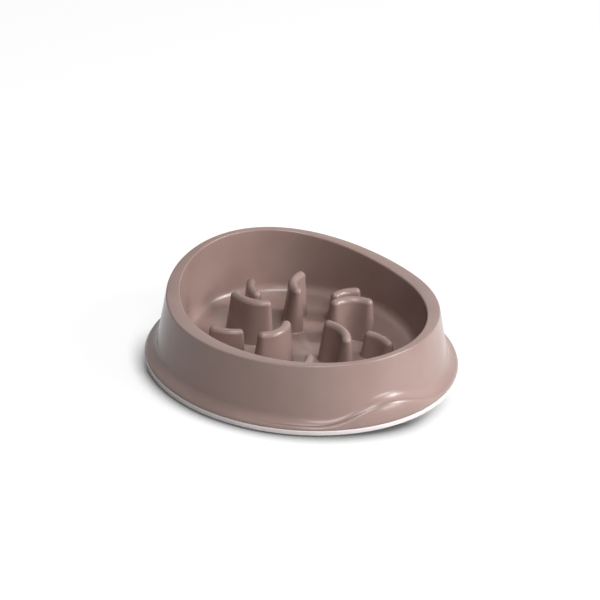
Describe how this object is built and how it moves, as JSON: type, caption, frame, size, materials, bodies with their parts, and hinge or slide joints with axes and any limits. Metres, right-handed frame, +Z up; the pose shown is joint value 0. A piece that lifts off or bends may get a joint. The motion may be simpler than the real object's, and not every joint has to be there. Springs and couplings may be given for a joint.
{
  "type": "slow feeder bowl",
  "caption": "Round double-walled feeding bowl with a raised back, curved blades and low fins on its floor, and a soft ring under a waved foot.",
  "frame": {"origin": "centre of the round foot on the plane it stands on", "axes": "+Z up; +Y towards the raised back of the rim; -Y towards the wave in the foot; +X completes the right-handed frame"},
  "size_m": [0.28, 0.28, 0.0722],
  "materials": {
    "bowl_plastic": "satin, lightly pearly moulded plastic",
    "soft_ring": "pale matt soft rubber"
  },
  "bodies": {
    "root": {"bowl": "bowl_plastic", "non_slip_ring": "soft_ring"}
  },
  "joints": []
}
